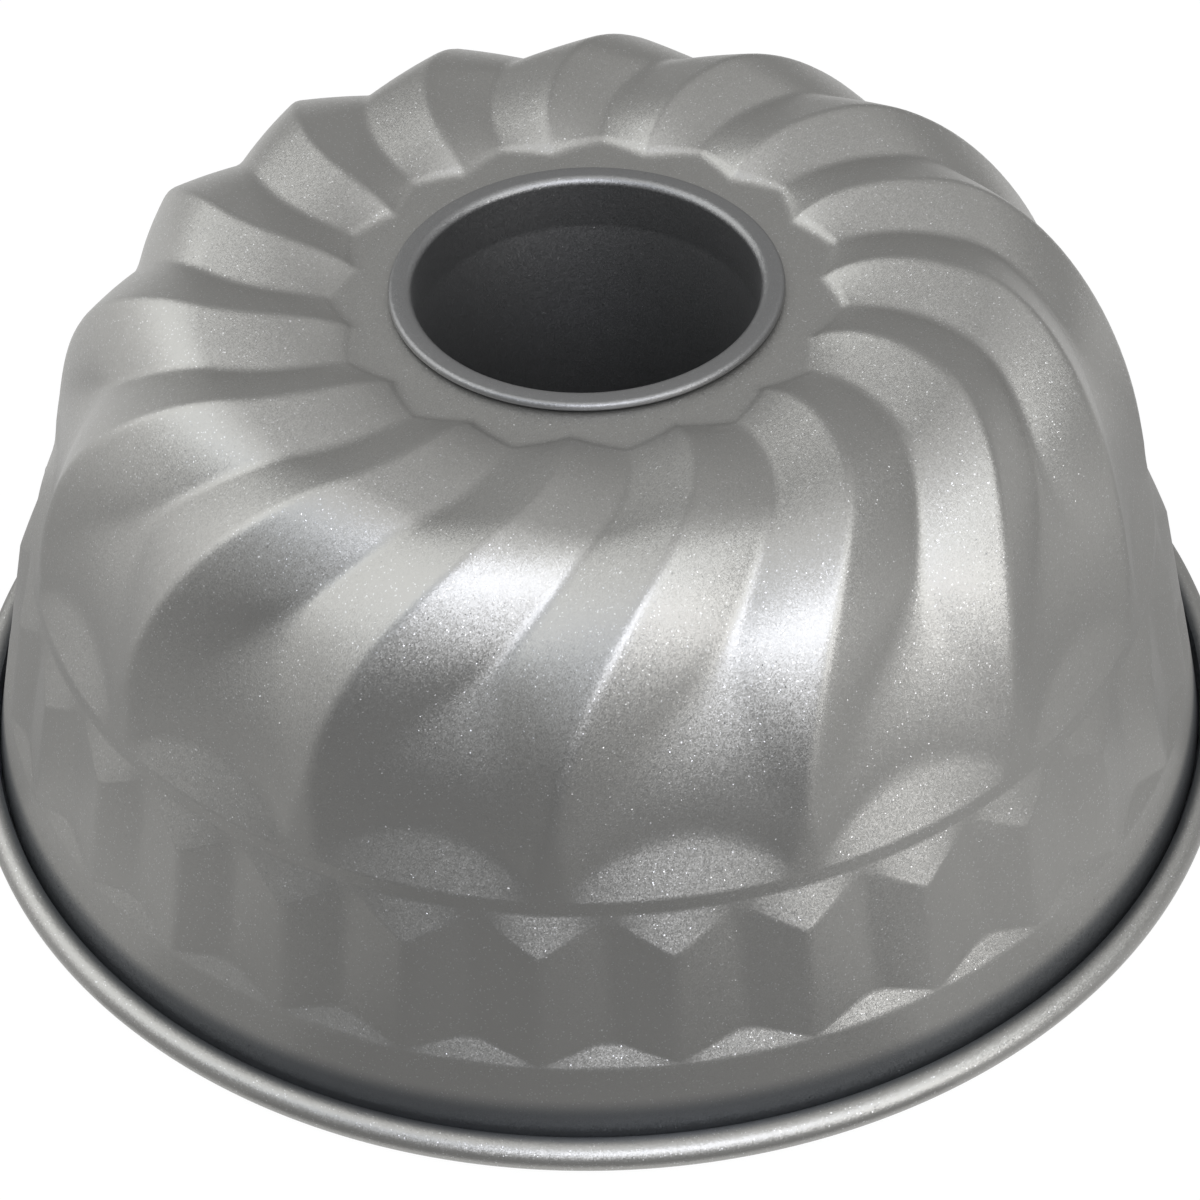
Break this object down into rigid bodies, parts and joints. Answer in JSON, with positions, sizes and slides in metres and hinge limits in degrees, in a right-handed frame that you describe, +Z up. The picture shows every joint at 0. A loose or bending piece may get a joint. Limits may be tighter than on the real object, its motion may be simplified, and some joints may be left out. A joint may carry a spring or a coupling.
{
  "type": "fluted ring cake pan",
  "caption": "Fluted ring cake pan of coated steel sheet, upside down on its rolled rim: swirled dome flutes over a faceted V-fluted band, flat floor ring and open tube in a folded seam",
  "frame": {"origin": "centre of the plane that the rolled rim stands on, on the tube's axis", "axes": "+Z up along the tube's axis with the pan upside down, -Y towards the viewer of the picture"},
  "size_m": [0.25, 0.25, 0.104],
  "materials": {
    "shell_coating": "satin silver-grey non-stick coating with fine metal flakes",
    "tube_coating": "satin silver-grey non-stick coating, in the tube's own shade",
    "wire_steel": "plain drawn steel wire, sealed inside the rolled rim"
  },
  "bodies": {
    "root": {"fluted_shell": "shell_coating", "center_tube": "tube_coating", "rim_wire": "wire_steel"}
  },
  "joints": []
}
